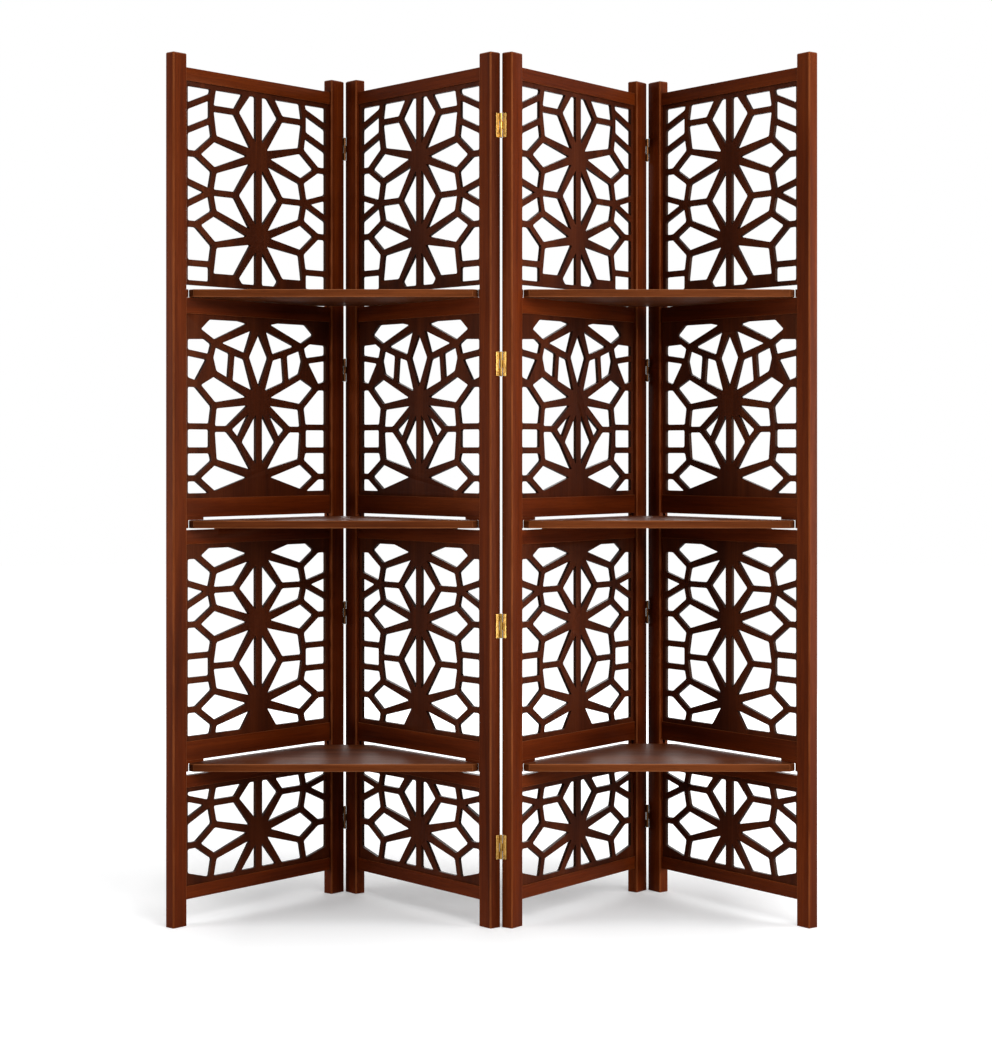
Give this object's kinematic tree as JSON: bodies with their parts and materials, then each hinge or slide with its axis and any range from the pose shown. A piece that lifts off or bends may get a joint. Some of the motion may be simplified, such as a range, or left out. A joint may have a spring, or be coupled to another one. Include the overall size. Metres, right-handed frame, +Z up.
{
  "type": "folding jali screen with corner shelves",
  "caption": "Folding jali screen in dark stained wood: fret-cut rosette panels in plain frames, joined by brass butt hinges, with corner shelves that slide into slots.",
  "frame": {"origin": "on the floor, under the middle of the standing screen's box", "axes": "+Z up along the stiles; +X to the right along the row of panels, seen from the front; -Y to the front, where the two bays open"},
  "size_m": [1.3402, 0.4074, 1.8],
  "materials": {
    "frame_wood": "satin walnut stain",
    "fret_wood": "satin walnut stain",
    "shelf_wood": "satin walnut stain",
    "brass": "satin"
  },
  "bodies": {
    "panel_b": {"hinge_ab_leaf_b": "brass", "hinge_bc_leaf_b": "brass", "panel_b_fret_1": "fret_wood", "panel_b_fret_2": "fret_wood", "panel_b_fret_3": "fret_wood", "panel_b_fret_4": "fret_wood", "panel_b_rail_bottom": "frame_wood", "panel_b_rail_shelf_1": "frame_wood", "panel_b_rail_top": "frame_wood", "panel_b_rails_shelf_2": "frame_wood", "panel_b_rails_shelf_3": "frame_wood", "panel_b_stile_left": "frame_wood", "panel_b_stile_right": "frame_wood", "hinge_ab_pins": "brass", "hinge_bc_pins": "brass"},
    "panel_a": {"hinge_ab_leaf_a": "brass", "panel_a_fret_1": "fret_wood", "panel_a_fret_2": "fret_wood", "panel_a_fret_3": "fret_wood", "panel_a_fret_4": "fret_wood", "panel_a_rail_bottom": "frame_wood", "panel_a_rail_shelf_1": "frame_wood", "panel_a_rail_top": "frame_wood", "panel_a_rails_shelf_2": "frame_wood", "panel_a_rails_shelf_3": "frame_wood", "panel_a_stile_left": "frame_wood", "panel_a_stile_right": "frame_wood"},
    "panel_c": {"hinge_bc_leaf_c": "brass", "hinge_cd_leaf_c": "brass", "panel_c_fret_1": "fret_wood", "panel_c_fret_2": "fret_wood", "panel_c_fret_3": "fret_wood", "panel_c_fret_4": "fret_wood", "panel_c_rail_bottom": "frame_wood", "panel_c_rail_shelf_1": "frame_wood", "panel_c_rail_top": "frame_wood", "panel_c_rails_shelf_2": "frame_wood", "panel_c_rails_shelf_3": "frame_wood", "panel_c_stile_left": "frame_wood", "panel_c_stile_right": "frame_wood", "hinge_cd_pins": "brass"},
    "panel_d": {"hinge_cd_leaf_d": "brass", "panel_d_fret_1": "fret_wood", "panel_d_fret_2": "fret_wood", "panel_d_fret_3": "fret_wood", "panel_d_fret_4": "fret_wood", "panel_d_rail_bottom": "frame_wood", "panel_d_rail_shelf_1": "frame_wood", "panel_d_rail_top": "frame_wood", "panel_d_rails_shelf_2": "frame_wood", "panel_d_rails_shelf_3": "frame_wood", "panel_d_stile_left": "frame_wood", "panel_d_stile_right": "frame_wood"},
    "shelf_left_1": {"shelf_left_1": "shelf_wood"},
    "shelf_left_2": {"shelf_left_2": "shelf_wood"},
    "shelf_left_3": {"shelf_left_3": "shelf_wood"},
    "shelf_right_1": {"shelf_right_1": "shelf_wood"},
    "shelf_right_2": {"shelf_right_2": "shelf_wood"},
    "shelf_right_3": {"shelf_right_3": "shelf_wood"}
  },
  "joints": [
    {"name": "fold_left", "type": "hinge", "parent": "panel_b", "child": "panel_a", "pos_m": [-0.32744, 0.1724, 0], "axis": [0, 0, 1], "range_deg": [-99, 81]},
    {"name": "fold_centre", "type": "hinge", "parent": "panel_b", "child": "panel_c", "pos_m": [0.01934, -0.18897, 0], "axis": [0, 0, 1], "range_deg": [-102, 78]},
    {"name": "fold_right", "type": "hinge", "parent": "panel_c", "child": "panel_d", "pos_m": [0.34673, 0.19005, 0], "axis": [0, 0, -1], "range_deg": [-105, 75]},
    {"name": "slide_left_1", "type": "slide", "parent": "panel_b", "child": "shelf_left_1", "axis": [0, -1, 0], "range_m": [0, 0.6]},
    {"name": "slide_left_2", "type": "slide", "parent": "panel_b", "child": "shelf_left_2", "axis": [0, -1, 0], "range_m": [0, 0.6]},
    {"name": "slide_left_3", "type": "slide", "parent": "panel_b", "child": "shelf_left_3", "axis": [0, -1, 0], "range_m": [0, 0.6]},
    {"name": "slide_right_1", "type": "slide", "parent": "panel_c", "child": "shelf_right_1", "axis": [0, -1, 0], "range_m": [0, 0.6]},
    {"name": "slide_right_2", "type": "slide", "parent": "panel_c", "child": "shelf_right_2", "axis": [0, -1, 0], "range_m": [0, 0.6]},
    {"name": "slide_right_3", "type": "slide", "parent": "panel_c", "child": "shelf_right_3", "axis": [0, -1, 0], "range_m": [0, 0.6]}
  ]
}
